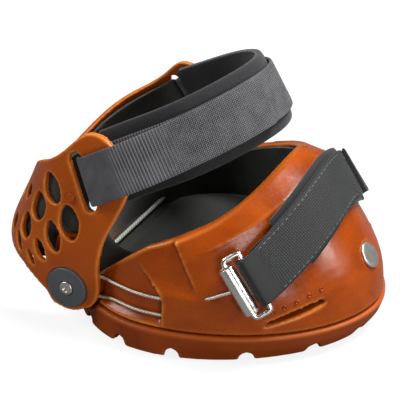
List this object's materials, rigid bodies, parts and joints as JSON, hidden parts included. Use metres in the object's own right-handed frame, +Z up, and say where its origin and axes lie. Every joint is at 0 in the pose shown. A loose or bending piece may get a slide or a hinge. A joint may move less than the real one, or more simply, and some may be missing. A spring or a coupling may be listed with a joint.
{
  "type": "horse hoof boot",
  "caption": "Horse hoof boot with a moulded urethane shell and tread, swinging heel cup on side hubs, steel draw cables and hook and loop straps.",
  "frame": {"origin": "middle of the sole on the ground, under the hoof, on the boot's middle plane and level with the pale ground face", "axes": "+X towards the toe, +Y to the boot's left, +Z up"},
  "size_m": [0.2015, 0.1528, 0.1366],
  "materials": {
    "buckle_steel": "polished nickel plate",
    "bush_acetal": "turned acetal",
    "cup_urethane": "moulded urethane, satin",
    "disc_aluminium": "slate grey anodised",
    "heel_cable_sleeve": "pale sleeve over a steel cable",
    "insole_foam": "soft foam sheet",
    "lining": "brushed knit on foam",
    "neoprene": "knit-faced neoprene foam",
    "shell_urethane": "moulded urethane, satin",
    "steel": "satin stainless steel",
    "steel_cable": "stranded stainless steel cable",
    "tread_rubber": "moulded urethane tread, matt",
    "webbing": "woven hook and loop webbing"
  },
  "bodies": {
    "boot": {"buckle_ring_left": "buckle_steel", "buckle_ring_right": "buckle_steel", "buckle_tube_left": "buckle_steel", "buckle_tube_right": "buckle_steel", "cable_ferrule_left": "steel", "cable_ferrule_right": "steel", "cable_left": "steel_cable", "cable_right": "steel_cable", "cable_stop_left": "steel", "cable_stop_right": "steel", "hoof_shell": "shell_urethane", "hub_bush_left": "bush_acetal", "hub_bush_right": "bush_acetal", "insole_pad": "insole_foam", "shell_liner": "lining", "toe_rivet": "steel", "toe_rivet_washer": "steel", "toe_strap": "webbing", "toe_strap_pad": "neoprene", "tread_sole": "tread_rubber"},
    "heel_cup": {"guard_plate_left": "cup_urethane", "guard_plate_right": "cup_urethane", "heel_cable": "heel_cable_sleeve", "heel_cup": "cup_urethane", "heel_cup_liner": "lining", "hub_disc_left": "disc_aluminium", "hub_disc_right": "disc_aluminium", "hub_nut_left": "steel", "hub_nut_right": "steel", "hub_screw_left": "steel", "hub_screw_right": "steel", "liner_stud_left": "cup_urethane", "liner_stud_right": "cup_urethane", "pastern_pad": "neoprene", "pastern_strap": "webbing"},
    "pastern_flap": {"pastern_flap": "webbing"},
    "toe_flap": {"toe_flap": "webbing"}
  },
  "joints": [
    {"name": "heel_cup_swing", "type": "hinge", "parent": "boot", "child": "heel_cup", "pos_m": [-0.056, 0, 0.023], "axis": [0, 1, 0], "range_deg": [-50, 5]},
    {"name": "pastern_flap_swing", "type": "hinge", "parent": "heel_cup", "child": "pastern_flap", "pos_m": [-0.0464, -0.05708, 0.0816], "axis": [0.4556, -0.2415, -0.8568], "range_deg": [0, 100]},
    {"name": "toe_flap_swing", "type": "hinge", "parent": "boot", "child": "toe_flap", "pos_m": [0.04371, -0.05955, 0.04754], "axis": [0.5592, 0, -0.829], "range_deg": [0, 75]}
  ]
}
